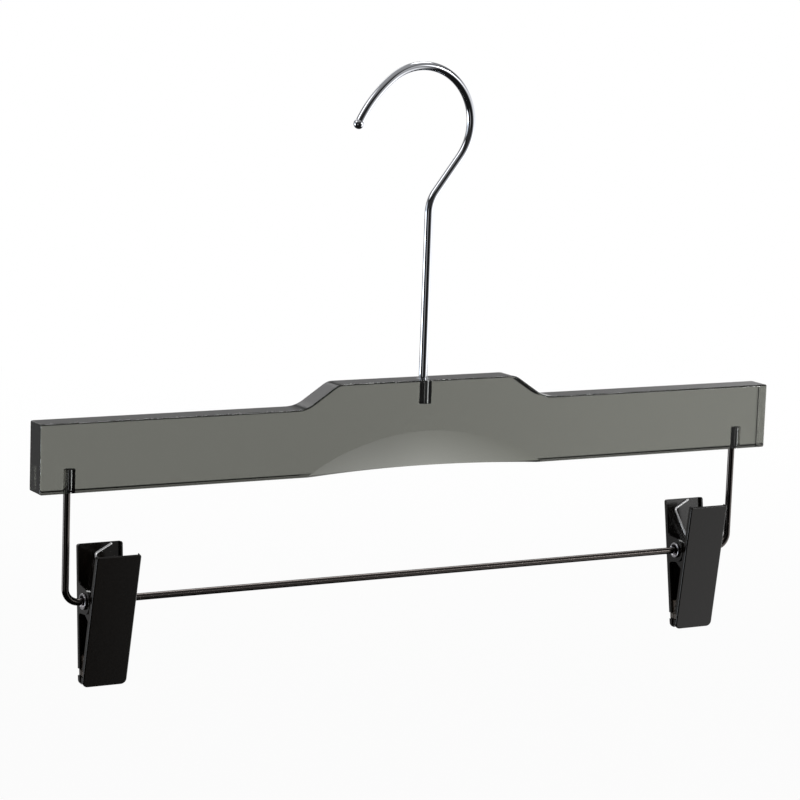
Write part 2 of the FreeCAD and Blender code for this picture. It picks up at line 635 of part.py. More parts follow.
def quarter_turn(start, start_heading, end, end_heading):
    """Two arcs that share a tangent, from one place and heading to the next."""
    gap = end - start
    both = start_heading + end_heading
    spread = 2 * (1 - start_heading.dot(end_heading))
    along = gap.dot(both)
    reach = (math.sqrt(along * along + spread * gap.dot(gap)) - along) / spread
    first = start + start_heading * reach
    second = end - end_heading * reach
    middle = (first + second) / 2
    return [arc_to_tangents(start, first, middle), arc_to_tangents(middle, second, end)]


def spring_path():
    """The spring's centre line as lines and arcs, about the pivot, rear arm first."""
    wire = value("spring_wire")
    coil = value("eyelet_radius") + value("spring_gap") + wire / 2
    lean = math.radians(value("spring_arm_lean"))
    jaw = math.radians(value("jaw_lean"))
    climb = value("spring_pitch") / (2 * math.pi)
    sweep_angle = math.pi + 2 * lean + 2 * math.pi * value("spring_full_turns")
    half_sweep = sweep_angle / 2
    # The coil is symmetric about its middle, which faces down
    low = -math.pi / 2
    quarters = math.ceil(sweep_angle / (math.pi / 2))
    steps = [-half_sweep + sweep_angle * i / quarters for i in range(quarters + 1)]
    stations = []
    for step in steps:
        place, heading = helix_point(low + step, coil, climb)
        stations.append((place - Vector(climb * low, 0, 0), heading))
    coil_arcs = []
    for (a, ta), (b, tb) in zip(stations, stations[1:]):
        coil_arcs += quarter_turn(a, ta, b, tb)
    # Rear arm: straight back along the coil's first heading until the wire lies on the rear jaw
    start, heading = stations[0]
    face = Vector(0, math.cos(jaw), -math.sin(jaw))
    stand = value("jaw_inner") - wire / 2 - value("spring_gap")
    arm_length = (stand - start.dot(face)) / (-heading.dot(face))
    corner = start - heading * arm_length
    up_jaw = Vector(0, math.sin(jaw), math.cos(jaw))
    rise = math.radians(value("spring_end_rise"))
    end = corner + (Vector(1, 0, 0) * math.cos(rise) + up_jaw * math.sin(rise)) * value("spring_end_length")
    bend_in, bend_middle, bend_out = rounded_corner(end, corner, start, value("spring_corner_radius"))
    rear_arm = [Part.LineSegment(end, bend_in), Part.Arc(bend_in, bend_middle, bend_out),
                Part.LineSegment(bend_out, start)]
    return rear_arm, coil_arcs, end, corner


def least_self_gap(path):
    """The smallest gap between stretches of the wire three or more wires apart along it."""
    wire = value("spring_wire")
    count = math.ceil(5 * path.Length / wire)
    points = path.discretize(Number=count)
    skip = math.ceil(3 * wire * (count - 1) / path.Length)
    gaps = [a.distanceToPoint(b) for i, a in enumerate(points) for b in points[i + skip:]]
    return min(gaps) - wire


def make_spring(label, x, shift, angle):
    """shift slides the coil along the eyelet, where it is free to sit."""
    rear_arm, coil_arcs, end, corner = spring_path()
    edges = [item.toShape() for item in rear_arm + coil_arcs]
    # The front arm is the rear arm turned half round the upright line through the pivot
    half_turn = FreeCAD.Placement(Vector(0, 0, 0), FreeCAD.Rotation(Vector(0, 0, 1), 180))
    front_arm = []
    for item in reversed(rear_arm):
        shape = item.toShape()
        shape.Placement = half_turn
        front_arm.append(shape)
    path = Part.Wire(edges + front_arm)
    print("%s least gap to itself %.3f mm" % (label, least_self_gap(path)))
    section = Part.Wire(Part.makeCircle(value("spring_wire") / 2, end, corner - end))
    shell = Part.BRepOffsetAPI.MakePipeShell(path)
    shell.add(section)
    shell.build()
    shell.makeSolid()
    piece = doc.addObject("Part::Feature", label)
    piece.Label = label
    piece.Shape = shell.shape()
    set_on_rod(piece, x, angle)
    piece.Placement.Base.x += value(shift)
    return piece


pieces = [make_bar(), make_hook(), make_hook_ferrule(), make_rod(),
          make_rod_ferrule("left_rod_ferrule", "-rod_half_span"),
          make_rod_ferrule("right_rod_ferrule", "rod_half_span")]
for hand in ("left", "right"):
    x = hand + "_clip_x"
    swing = value(hand + "_swing")
    lean = value("jaw_lean")
    pieces.append(make_eyelet(hand + "_eyelet", x))
    pieces.append(make_rear_jaw(hand + "_rear_jaw", x, swing - lean))
    pieces.append(make_front_jaw(hand + "_front_jaw", x, swing + lean))
    pieces.append(make_spring(hand + "_spring", x, hand + "_spring_shift", swing))
    pieces.append(make_pad(hand + "_rear_pad", same, x, swing))
    pieces.append(make_pad(hand + "_front_pad", turned, x, swing))
doc.recompute()

# Nothing is written unless every object is sound
for item in doc.Objects:
    if "Invalid" in item.State or "Error" in item.State:
        raise RuntimeError("%s did not compute: %s" % (item.Label, item.State))
for piece in pieces:
    if piece.Shape.isNull() or not piece.Shape.isValid() or len(piece.Shape.Solids) != 1:
        raise RuntimeError("%s is not one valid solid" % piece.Label)

os.makedirs("parts", exist_ok=True)
for piece in pieces:
    piece.Shape.exportStep("parts/%s.step" % piece.Label)
    box = piece.Shape.BoundBox
    print("%-18s %9.1f mm3  x %.1f..%.1f  y %.1f..%.1f  z %.1f..%.1f" % (
        piece.Label, piece.Shape.Volume, box.XMin, box.XMax, box.YMin, box.YMax, box.ZMin, box.ZMax))
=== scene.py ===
"""Skirt hanger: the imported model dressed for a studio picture.

A smoke acrylic bar hangs on a chrome swivel hook and carries a wire rod with two sprung clips. Metres,
in the part's own frame: +X along the bar, +Y to the back, +Z up, origin at the hook's rail seat.
"""

import bmesh
import bpy
import numpy as np
from mathutils import Matrix, Vector


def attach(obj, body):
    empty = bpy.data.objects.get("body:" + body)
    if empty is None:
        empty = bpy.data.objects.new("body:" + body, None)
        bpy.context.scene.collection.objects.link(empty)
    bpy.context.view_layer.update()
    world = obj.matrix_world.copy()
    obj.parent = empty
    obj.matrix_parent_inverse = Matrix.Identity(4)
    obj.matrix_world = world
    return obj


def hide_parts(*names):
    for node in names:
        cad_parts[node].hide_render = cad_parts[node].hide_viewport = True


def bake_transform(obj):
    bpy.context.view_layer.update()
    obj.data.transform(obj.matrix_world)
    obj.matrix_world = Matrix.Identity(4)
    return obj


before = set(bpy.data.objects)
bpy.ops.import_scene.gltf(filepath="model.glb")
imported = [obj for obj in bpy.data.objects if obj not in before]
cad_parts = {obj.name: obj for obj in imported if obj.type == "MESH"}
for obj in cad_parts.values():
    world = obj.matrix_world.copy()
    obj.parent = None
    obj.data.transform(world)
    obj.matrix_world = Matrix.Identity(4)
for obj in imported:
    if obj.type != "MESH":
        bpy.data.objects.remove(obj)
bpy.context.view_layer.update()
scene = bpy.context.scene
scene.view_settings.view_transform = "Standard"


# The camera stands to the left of the hanger and a little above it, with a long lens, as in the photograph.
# Its turn, height and slight tilt come from the bar's and the rod's edges in the picture.
def stand_camera():
    """A camera from its compass turn, its dip below level and its tilt about the line of sight."""
    turn, dip, tilt = np.radians((29.305, 9.26, 2.04))
    place = Vector((-0.6227, -1.0899, 0.0638))
    ahead = Vector((np.sin(turn) * np.cos(dip), np.cos(turn) * np.cos(dip), -np.sin(dip)))
    level = ahead.cross(Vector((0, 0, 1))).normalized()
    upward = level.cross(ahead)
    across = np.cos(tilt) * level + np.sin(tilt) * upward
    aloft = np.cos(tilt) * upward - np.sin(tilt) * level
    data = bpy.data.cameras.new("photo_camera")
    data.sensor_fit = "HORIZONTAL"
    data.sensor_width = 36.0
    data.lens = 133.08
    data.clip_end = 50.0
    camera = bpy.data.objects.new("photo_camera", data)
    camera.matrix_world = Matrix((across, aloft, -ahead)).transposed().to_4x4()
    camera.matrix_world.translation = place
    scene.collection.objects.link(camera)
    scene.camera = camera


stand_camera()


# The studio: a white sweep, seen as white by the camera, in a dim room with two soft lamps. Polished surfaces
# mirror that room: a softbox with a hot bulb and pale cards on the right, a lamp and a pale wall on the left,
# a ceiling with lamps above and the white sweep behind.
def node_tree(owner):
    """The emptied nodes and links of a world or a material."""
    owner.use_nodes = True
    owner.node_tree.nodes.clear()
    return owner.node_tree.nodes, owner.node_tree.links


def maths(nodes, links, operation, first, second=None, third=None):
    """One sum on two or three values, each a number or a socket."""
    node = nodes.new("ShaderNodeMath")
    node.operation = operation
    for socket, given in zip(node.inputs, (first, second, third)):
        if isinstance(given, (int, float)):
            socket.default_value = given
        elif given is not None:
            links.new(given, socket)
    return node.outputs["Value"]


def ramp(nodes, links, given, low, high, at_low, at_high):
    """A smooth step from one value to another as the given value goes from low to high."""
    node = nodes.new("ShaderNodeMapRange")
    node.interpolation_type = "SMOOTHSTEP"
    for name, number in (("From Min", low), ("From Max", high), ("To Min", at_low), ("To Max", at_high)):
        node.inputs[name].default_value = number
    links.new(given, node.inputs["Value"])
    return node.outputs["Result"]


def mixed(nodes, links, factor, first, second):
    """A colour between two, by a factor from 0 to 1."""
    node = nodes.new("ShaderNodeMix")
    node.data_type = "RGBA"
    node.inputs["A"].default_value = (*first, 1.0)
    node.inputs["B"].default_value = (*second, 1.0)
    links.new(factor, node.inputs["Factor"])
    return node.outputs["Result"]


def noise(nodes, links, place, scale, detail=2.0):
    """A soft noise from 0 to 1 at a place on the object, in patches of about one metre over the scale."""
    node = nodes.new("ShaderNodeTexNoise")
    node.inputs["Scale"].default_value = scale
    node.inputs["Detail"].default_value = detail
    links.new(place, node.inputs["Vector"])
    return node.outputs["Fac"]


def light_world():
    """White to the camera, a table and a wall to clear plastic, a room of panels to mirrors."""
    world = bpy.data.worlds.new("studio")
    scene.world = world
    world.cycles.sampling_method = "NONE"
    nodes, links = node_tree(world)
    ray = nodes.new("ShaderNodeLightPath").outputs
    direction = nodes.new("ShaderNodeTexCoord").outputs["Generated"]
    parts = nodes.new("ShaderNodeSeparateXYZ")
    links.new(direction, parts.inputs["Vector"])

    def result(operation, *values):
        """One sum among the world's own nodes."""
        return maths(nodes, links, operation, *values)

    def step(axis, low, high, at_low, at_high):
        """A smooth step along one axis of the direction that is looked in."""
        return ramp(nodes, links, parts.outputs[axis], low, high, at_low, at_high)

    def panel(centre, full, gone, strength):
        """A soft round panel: its strength within one angle of its centre, nothing beyond another."""
        dot = nodes.new("ShaderNodeVectorMath")
        dot.operation = "DOT_PRODUCT"
        dot.inputs[1].default_value = Vector(centre).normalized()
        links.new(direction, dot.inputs[0])
        edge, core = np.cos(np.radians((gone, full)))
        return ramp(nodes, links, dot.outputs["Value"], float(edge), float(core), 0.0, strength)

    # Mirrors see a backdrop that is dark to the front, low down and high up, and the panels on it
    left_wall = panel((-0.88, 0.47, -0.05), 12, 24, 0.9)
    room = result("MULTIPLY", step("Y", 0.3, 0.8, 0.1, 1.0), step("Z", -0.02, 0.06, 0.10, 0.33))
    room = result("MULTIPLY", room, step("Z", 0.28, 0.45, 1.0, 0.15))
    for more in (
            left_wall,
            panel((0.60, -0.77, 0.20), 4, 11, 2.2),  # softbox on the right
            panel((0.60, -0.77, 0.20), 8, 30, 0.5),  # glow round it
            panel((0.62, -0.74, 0.26), 2, 5, 15.0),  # bulb in it
            panel((0.78, -0.46, -0.42), 8, 31, 1.05),  # low glow on the right
            panel((0.95, -0.30, -0.10), 15, 35, 0.7),  # card on the right
            panel((0.90, 0.40, -0.10), 15, 38, 1.0),  # card behind on the right
            panel((-0.866, 0.50, -0.20), 6, 14, 4.0),  # lamp on the left
            panel((-0.46, 0.87, -0.16), 10, 22, 0.18),  # wall behind on the left
            panel((-0.72, 0.20, 0.66), 8, 20, 2.0),  # strip under the ceiling on the left
            panel((-0.75, -0.64, -0.16), 6, 16, 0.28),  # dim lamp beside the camera
            panel((0.42, 0.33, 0.85), 6, 14, 6.0),  # lamp overhead
            panel((0.00, 0.10, 1.00), 25, 70, 0.35),  # ceiling
            panel((0.04, 0.86, 0.51), 8, 18, 1.0),  # card high up behind
            panel((0.483, 0.861, -0.40), 15, 30, 1.0),  # white sweep behind
    ):
        room = result("ADD", room, more)

    # Clear plastic sees a table under a wall, both paler to the right, and less light high up and low down
    table = result("ADD", step("X", 0.44, 0.60, 0.80, 1.06), step("X", -0.5, -0.3, 0.16, 0.0))
    wall = result("ADD", step("X", 0.445, 0.50, 0.79, 0.93), step("X", 0.52, 0.62, 0.0, 0.14))
    wall_share = step("Z", -0.125, -0.085, 0.0, 1.0)
    through = result("MULTIPLY_ADD", result("SUBTRACT", wall, table), wall_share, table)
    through = result("MULTIPLY", through, step("Z", 0.04, 0.13, 1.0, 0.6))
    through = result("MULTIPLY", through, step("Z", -0.45, -0.18, 0.05, 1.0))

    # Light that leaves the bar at the back shows the sweep, however often it was mirrored inside
    behind = result("MULTIPLY", ray["Is Transmission Ray"], step("Y", -0.1, 0.15, 0.0, 1.0))
    once = result("MINIMUM", ray["Glossy Depth"], 1.0)
    mirrored = result("MULTIPLY", once, result("SUBTRACT", 1.0, behind))
    plain = result("MULTIPLY", ray["Is Diffuse Ray"], 0.45)
    clear = result("MULTIPLY", ray["Is Transmission Ray"], through)
    direct = result("MAXIMUM", result("MAXIMUM", plain, clear), ray["Is Camera Ray"])
    strength = result("MULTIPLY_ADD", result("SUBTRACT", room, direct), mirrored, direct)
    cool = result("MULTIPLY", left_wall, mirrored)
    shade = nodes.new("ShaderNodeBackground")
    links.new(mixed(nodes, links, cool, (1.0, 1.0, 1.0), (0.84, 0.92, 1.0)), shade.inputs["Color"])
    links.new(strength, shade.inputs["Strength"])
    out = nodes.new("ShaderNodeOutputWorld")
    links.new(shade.outputs["Background"], out.inputs["Surface"])


def lay_floor():
    """A wide pale sheet, fading to white with distance.

    The camera sees the shadow on it, while mirrors and clear plastic see the room instead of it.
    """
    reach, level = 6.0, -0.75
    corners = [(-reach, -reach, level), (reach, -reach, level), (reach, reach, level), (-reach, reach, level)]
    mesh = bpy.data.meshes.new("floor")
    mesh.from_pydata(corners, [], [(0, 1, 2, 3)])
    floor = bpy.data.objects.new("floor", mesh)
    scene.collection.objects.link(floor)
    paper = bpy.data.materials.new("floor_paper")
    nodes, links = node_tree(paper)
    ray = nodes.new("ShaderNodeLightPath").outputs
    place = nodes.new("ShaderNodeTexCoord").outputs["Object"]
    grain = noise(nodes, links, place, 40.0)
    matt = nodes.new("ShaderNodeBsdfDiffuse")
    links.new(mixed(nodes, links, grain, (0.86, 0.86, 0.85), (0.90, 0.90, 0.89)), matt.inputs["Color"])
    glow = nodes.new("ShaderNodeEmission")
    distance = nodes.new("ShaderNodeVectorMath")
    distance.operation = "LENGTH"
    links.new(place, distance.inputs[0])
    whiteness = ramp(nodes, links, distance.outputs["Value"], 0.80, 4.06, 0.90, 1.0)
    both = nodes.new("ShaderNodeMixShader")
    links.new(maths(nodes, links, "MULTIPLY", ray["Is Camera Ray"], whiteness), both.inputs["Fac"])
    links.new(matt.outputs["BSDF"], both.inputs[1])
    links.new(glow.outputs["Emission"], both.inputs[2])
    gone = nodes.new("ShaderNodeBsdfTransparent")
    passing = maths(nodes, links, "MAXIMUM", ray["Is Glossy Ray"], ray["Is Transmission Ray"])
    shown = nodes.new("ShaderNodeMixShader")
    links.new(passing, shown.inputs["Fac"])
    links.new(both.outputs["Shader"], shown.inputs[1])
    links.new(gone.outputs["BSDF"], shown.inputs[2])
    out = nodes.new("ShaderNodeOutputMaterial")
    links.new(shown.outputs["Shader"], out.inputs["Surface"])
    mesh.materials.append(paper)


def hang_lamp(name, place, aim, width, height, watts):
    """A soft rectangular lamp turned towards a point; the room's panels stand for it in mirrors."""
    data = bpy.data.lights.new(name, "AREA")
    data.shape = "RECTANGLE"
    data.size = width
    data.size_y = height
    data.energy = watts
    lamp = bpy.data.objects.new(name, data)
    lamp.location = place
    lamp.rotation_euler = (Vector(aim) - Vector(place)).to_track_quat("-Z", "Y").to_euler()
    lamp.visible_glossy = False
    lamp.visible_transmission = False
    scene.collection.objects.link(lamp)


light_world()
lay_floor()
hang_lamp("right_softbox", (1.1, -1.3, 0.25), (0.0, 0.0, -0.15), 1.0, 1.2, 20.0)
hang_lamp("top_softbox", (-0.2, 0.2, 1.3), (0.0, 0.0, -0.15), 1.4, 0.8, 16.0)


# The bar is sawn from thick smoke-grey cast acrylic, flame-polished on its edges, with drilled blind bores.
# A shallow scoop is milled into the underside of its front face. Light is lost in its depth, not on its skin.
def smoke_acrylic():
    """Clear polished acrylic whose grey comes from absorption along the path of the light inside it."""
    material = bpy.data.materials.new("smoke_acrylic")
    nodes, links = node_tree(material)
    skin = nodes.new("ShaderNodeBsdfPrincipled")
    skin.inputs["Base Color"].default_value = (1.0, 1.0, 1.0, 1.0)
    skin.inputs["Transmission Weight"].default_value = 1.0
    skin.inputs["IOR"].default_value = 1.49
    haze = noise(nodes, links, nodes.new("ShaderNodeTexCoord").outputs["Object"], 25.0, 4.0)
    links.new(ramp(nodes, links, haze, 0.35, 0.75, 0.002, 0.008), skin.inputs["Roughness"])
    depth = nodes.new("ShaderNodeVolumeAbsorption")
    depth.inputs["Color"].default_value = (0.07, 0.08, 0.01, 1.0)
    depth.inputs["Density"].default_value = 138.0
    out = nodes.new("ShaderNodeOutputMaterial")
    links.new(skin.outputs["BSDF"], out.inputs["Surface"])
    links.new(depth.outputs["Volume"], out.inputs["Volume"])
    return material


def dress(node, material):
    """Gives a CAD node its finish in place of the plain one."""
    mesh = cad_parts[node].data
    mesh.materials.clear()
    mesh.materials.append(material)


dress("acrylic_bar", smoke_acrylic())


# Three sleeves are turned from brass tube, chromed and pressed into the bar: one for the hook's stem, two for
# the ends of the rod. The rod's sleeves are closed at the top, and all show through the clear bar.
def bumped(nodes, links, height, strength, distance):
    """A normal that leans with a height from 0 to 1, which stands for a distance in metres."""
    node = nodes.new("ShaderNodeBump")
    node.inputs["Strength"].default_value = strength
    node.inputs["Distance"].default_value = distance
    links.new(height, node.inputs["Height"])
    return node.outputs["Normal"]


def polish(name, colour, roughness, streak, metal=1.0):
    """Polished plating: a mirror with a fine grain in its roughness and a trace of waviness."""
    material = bpy.data.materials.new(name)
    nodes, links = node_tree(material)
    skin = nodes.new("ShaderNodeBsdfPrincipled")
    skin.inputs["Metallic"].default_value = metal
    grain = noise(nodes, links, nodes.new("ShaderNodeTexCoord").outputs["Object"], streak, 6.0)
    worn = [0.9 * c for c in colour]
    links.new(mixed(nodes, links, grain, worn, colour), skin.inputs["Base Color"])
    gloss = ramp(nodes, links, grain, 0.3, 0.7, 0.6 * roughness, 1.5 * roughness)
    links.new(gloss, skin.inputs["Roughness"])
    links.new(bumped(nodes, links, grain, 0.008, 0.0002), skin.inputs["Normal"])
    out = nodes.new("ShaderNodeOutputMaterial")
    links.new(skin.outputs["BSDF"], out.inputs["Surface"])
    return material


def rounded(corners, radius, steps=5):
    """A closed outline with eased corners.

    Each corner becomes a quadratic curve between the points one radius along its two sides.
    """
    corners = np.asarray(corners, float)
    back = np.roll(corners, 1, axis=0) - corners
    ahead = np.roll(corners, -1, axis=0) - corners
    back_length = np.linalg.norm(back, axis=1, keepdims=True)
    ahead_length = np.linalg.norm(ahead, axis=1, keepdims=True)
    reach = np.minimum(radius, 0.45 * np.minimum(back_length, ahead_length))
    first = corners + back / back_length * reach
    last = corners + ahead / ahead_length * reach
    t = np.linspace(0.0, 1.0, steps)[None, :, None]
    curve = (1 - t) ** 2 * first[:, None] + 2 * t * (1 - t) * corners[:, None] + t ** 2 * last[:, None]
    return curve.reshape(-1, 2)


def grid_faces(rows, columns, rows_close, columns_close):
    """Quads over a grid of points, joined round in either direction where it closes."""
    r = np.arange(rows if rows_close else rows - 1)[:, None]
    c = np.arange(columns if columns_close else columns - 1)[None, :]
    r_next, c_next = (r + 1) % rows, (c + 1) % columns
    corners = [r * columns + c, r * columns + c_next, r_next * columns + c_next, r_next * columns + c]
    return np.stack(corners, axis=-1).reshape(-1, 4).tolist()


def make_piece(name, points, faces, material, crease):
    """A mesh of a point grid, with poles merged, faces outwards and smooth up to the crease angle."""
    mesh = bpy.data.meshes.new(name)
    mesh.from_pydata(np.asarray(points).reshape(-1, 3).tolist(), [], faces)
    work = bmesh.new()
    work.from_mesh(mesh)
    bmesh.ops.remove_doubles(work, verts=work.verts, dist=1e-7)
    bmesh.ops.recalc_face_normals(work, faces=work.faces)
    work.to_mesh(mesh)
    work.free()
    mesh.polygons.foreach_set("use_smooth", np.ones(len(mesh.polygons), bool))
    mesh.set_sharp_from_angle(angle=float(np.radians(crease)))
    mesh.materials.append(material)
    piece = bpy.data.objects.new(name, mesh)
    scene.collection.objects.link(piece)
    return piece


def lathe(outline, turns=64):
    """A closed outline of (distance along the axis, radius) carried once round the axis, here along Z."""
    angle = np.linspace(0.0, 2 * np.pi, turns, endpoint=False)[:, None]
    along, radius = outline[None, :, 0], outline[None, :, 1]
    points = np.stack((radius * np.cos(angle), radius * np.sin(angle), along + 0 * angle), axis=-1)
    return points, grid_faces(turns, len(outline), True, True)


bright_chrome = polish("bright_chrome", (0.77, 0.785, 0.83), 0.03, 900.0)


def press_in_sleeve(name, x, outline):
    """A tube turned from its outline, standing in the bar at one place along it."""
    points, faces = lathe(rounded(outline, 0.00025))
    sleeve = make_piece(name + "_tube", points + (x, 0.0, 0.0), faces, bright_chrome, 50)
    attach(sleeve, "bar")
    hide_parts(name)


def press_in_sleeves():
    """The hook's sleeve is an open tube, and each of the rod's is a tube closed by a thin cap at the top."""
    foot, mouth, outside, bore = -0.1415, -0.131, 0.003, 0.00196
    press_in_sleeve("hook_ferrule", 0.0, [(foot, outside), (mouth, outside), (mouth, bore), (foot, bore)])
    mouth, top, under_cap, outside, bore = -0.170, -0.1605, -0.1613, 0.0026, 0.00152
    outline = [(mouth, outside), (top, outside), (top, 0.0),
               (under_cap, 0.0), (under_cap, bore), (mouth, bore)]
    press_in_sleeve("left_rod_ferrule", -0.164, outline)
    press_in_sleeve("right_rod_ferrule", 0.164, outline)


press_in_sleeves()


# The hook is one length of steel wire, bent cold over a former and plated with bright chrome.
# Its stem turns in the sleeve in the bar; the tip is upset to a small ball.
def straight(start, end, count):
    """Evenly spaced points from a start to an end."""
    return np.linspace(start, end, count)


def arc(centre, radius, start, end, count):
    """Points on a circle in the XZ plane between two angles, in degrees from +X towards +Z."""
    angle = np.radians(np.linspace(start, end, count))
    zero = 0 * angle
    return np.stack((centre[0] + radius * np.cos(angle), zero, centre[1] + radius * np.sin(angle)), axis=-1)


def wire(path, radius, across, sides=32):
    """Circles of the wire's radius square to the path, shrinking to a low dome at each end.

    The circle's first axis is the part of a fixed vector that is square to the path, the second completes it.
    """
    heading = np.gradient(path, axis=0)
    heading /= np.linalg.norm(heading, axis=1, keepdims=True)
    dome = np.radians((90.0, 65.0, 40.0, 18.0))
    depth = 0.5 * radius * np.sin(dome)[:, None]
    centres = np.concatenate((path[0] - depth * heading[0], path, (path[-1] + depth * heading[-1])[::-1]))
    headings = np.concatenate((np.repeat(heading[:1], 4, 0), heading, np.repeat(heading[-1:], 4, 0)))
    radii = radius * np.concatenate((np.cos(dome), np.ones(len(path)), np.cos(dome)[::-1]))
    normal = np.asarray(across) - (headings @ np.asarray(across))[:, None] * headings
    normal /= np.linalg.norm(normal, axis=1, keepdims=True)
    side = np.cross(headings, normal)
    angle = np.linspace(0.0, 2 * np.pi, sides, endpoint=False)
    ring = np.cos(angle)[None, :, None] * normal[:, None] + np.sin(angle)[None, :, None] * side[:, None]
    points = centres[:, None] + radii[:, None, None] * ring
    return points, grid_faces(len(centres), sides, False, True)


def bend_hook():
    """Stem, bend, slope, loop and flare joined tangent to tangent, then a ball on the tip."""
    wire_radius, ball_radius, loop_radius, loop_offset, slope_lean = 0.0019, 0.0023, 0.024, 0.005, 37.0
    bend_radius, flare_start, flare_radius, flare_end = 0.015, 128.0, 0.055, 154.0
    stem_foot, lean = -0.1409, np.radians(slope_lean)
    loop_z = -np.sqrt((loop_radius - wire_radius) ** 2 - loop_offset ** 2)
    slope_end = np.array((loop_radius * np.cos(lean) - loop_offset, 0.0, loop_z - loop_radius * np.sin(lean)))
    corner_z = slope_end[2] - slope_end[0] / np.tan(lean)
    tangent = bend_radius * np.tan(lean / 2)
    stem = straight((0.0, 0.0, stem_foot), (0.0, 0.0, corner_z - tangent), 60)
    bend = arc((bend_radius, corner_z - tangent), bend_radius, 180.0, 180.0 - slope_lean, 24)
    slope = straight(bend[-1], slope_end, 20)
    loop = arc((-loop_offset, loop_z), loop_radius, -slope_lean, flare_start, 110)
    towards = np.array((np.cos(np.radians(flare_start)), np.sin(np.radians(flare_start))))
    flare_centre = loop[-1, [0, 2]] - flare_radius * towards
    flare = arc(flare_centre, flare_radius, flare_start, flare_end, 30)
    path = np.concatenate((stem, bend[1:], slope[1:], loop[1:], flare[1:]))
    hook = make_piece("hook_wire", *wire(path, wire_radius, (0.0, 1.0, 0.0), 40), bright_chrome, 80)
    tilt = np.linspace(-np.pi / 2, np.pi / 2, 33)
    turn = np.linspace(0, 2 * np.pi, 48, endpoint=False)
    tilt, turn = np.meshgrid(tilt, turn)
    ball = np.stack((np.cos(tilt) * np.cos(turn), np.cos(tilt) * np.sin(turn), np.sin(tilt)), axis=-1)
    ball = ball_radius * ball + path[-1]
    tip = make_piece("hook_tip", ball, grid_faces(48, 33, True, False), bright_chrome, 80)
    for piece in (hook, tip):
        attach(piece, "hook")
        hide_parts("hook")


bend_hook()


# The rod is one steel wire bent to a wide U and plated black, a smoky mirror with a brown cast.
# Its legs are pressed into the two sleeves, and the clips slide along its long straight.
ROD_LEVEL = -0.2165


def bend_rod():
    """Leg, quarter bend, straight, quarter bend and leg."""
    half, radius, top, wire_radius = 0.164, 0.006, -0.1613, 0.0015
    left = straight((-half, 0.0, top), (-half, 0.0, ROD_LEVEL + radius), 30)
    left_bend = arc((-half + radius, ROD_LEVEL + radius), radius, 180.0, 270.0, 24)
    level = straight(left_bend[-1], (half - radius, 0.0, ROD_LEVEL), 160)
    right_bend = arc((half - radius, ROD_LEVEL + radius), radius, 270.0, 360.0, 24)
    right = straight(right_bend[-1], (half, 0.0, top), 30)
    path = np.concatenate((left, left_bend[1:], level[1:], right_bend[1:], right[1:]))
    dark_chrome = polish("dark_chrome", (0.09, 0.08, 0.075), 0.14, 900.0)
    rod = make_piece("rod_wire", *wire(path, wire_radius, (0.0, 1.0, 0.0)), dark_chrome, 80)
    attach(rod, "bar")
    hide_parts("clip_rod")


bend_rod()


# The eyelets are tubular steel rivets, nickelled, with a rolled rim and a flared mouth at each end.
# Each holds the two jaws of a clip together and slides on the rod. A clip is given by its hand, its place
# along the bar, its swing in degrees and its spring's shift along the eyelet.
CLIPS = (("left", -0.14565, 4.2, 0.0024), ("right", 0.146, -0.8, -0.0005))
nickel = polish("nickel_steel", (0.62, 0.60, 0.63), 0.06, 1600.0)


def roll_eyelet(hand, x):
    """A tube outline with a rim at both ends, turned about the rod."""
    half = [(0.01005, 0.0025), (0.01005, 0.0035), (0.01095, 0.0035), (0.01095, 0.00255), (0.00935, 0.0016)]
    outline = half + [(-along, radius) for along, radius in reversed(half)]
    points, faces = lathe(rounded(outline, 0.0004, 7), 72)
    eyelet = make_piece(hand + "_rivet", points[..., [2, 0, 1]] + (x, 0.0, ROD_LEVEL), faces, nickel, 50)
    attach(eyelet, hand + "_eyelet")
    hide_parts(hand + "_eyelet")


for hand, x, _, _ in CLIPS:
    roll_eyelet(hand, x)


# The jaws are stamped from steel sheet with lips down their sides and ears at the pivot, and enamelled black.
# The enamel is satin smooth with a very fine metallic fleck.
def black_enamel():
    """Satin black baked enamel with fine metallic flecks and a faint orange-peel surface."""
    material = bpy.data.materials.new("black_enamel")
    nodes, links = node_tree(material)
    skin = nodes.new("ShaderNodeBsdfPrincipled")
    skin.inputs["IOR"].default_value = 1.5
    place = nodes.new("ShaderNodeTexCoord").outputs["Object"]
    fleck = nodes.new("ShaderNodeTexVoronoi")
    fleck.inputs["Scale"].default_value = 3500.0
    links.new(place, fleck.inputs["Vector"])
    spark = ramp(nodes, links, fleck.outputs["Distance"], 0.05, 0.16, 1.0, 0.0)
    tone = mixed(nodes, links, spark, (0.0026, 0.0019, 0.0013), (0.012, 0.011, 0.010))
    links.new(tone, skin.inputs["Base Color"])
    peel = noise(nodes, links, place, 1400.0)
    links.new(ramp(nodes, links, peel, 0.3, 0.7, 0.12, 0.17), skin.inputs["Roughness"])
    links.new(bumped(nodes, links, peel, 0.03, 0.0001), skin.inputs["Normal"])
    out = nodes.new("ShaderNodeOutputMaterial")
    links.new(skin.outputs["BSDF"], out.inputs["Surface"])
    return material


enamel = black_enamel()
for hand, _, _, _ in CLIPS:
    dress(hand + "_rear_jaw", enamel)
    dress(hand + "_front_jaw", enamel)


# Each clip's torsion spring is wound from drawn steel wire round the eyelet. Its arms cross above the coil
# and run up to the handles, where their ends are bent across the jaws. The real spring twists as the clip
# opens; this one is built once, still, at the clip's rest swing.
JAW_LEAN = np.radians(8.6)
JAW_INSIDE = 0.0070


def about_pivot(points, x, swing):
    """Turns points about the rod, top to the front by the swing, and sets them at the clip's place."""
    turn = np.radians(swing)
    y, z = points[..., 1], points[..., 2]
    turned = np.stack((points[..., 0], y * np.cos(turn) - z * np.sin(turn),
                       y * np.sin(turn) + z * np.cos(turn)), axis=-1)
    return turned + (x, 0.0, ROD_LEVEL)


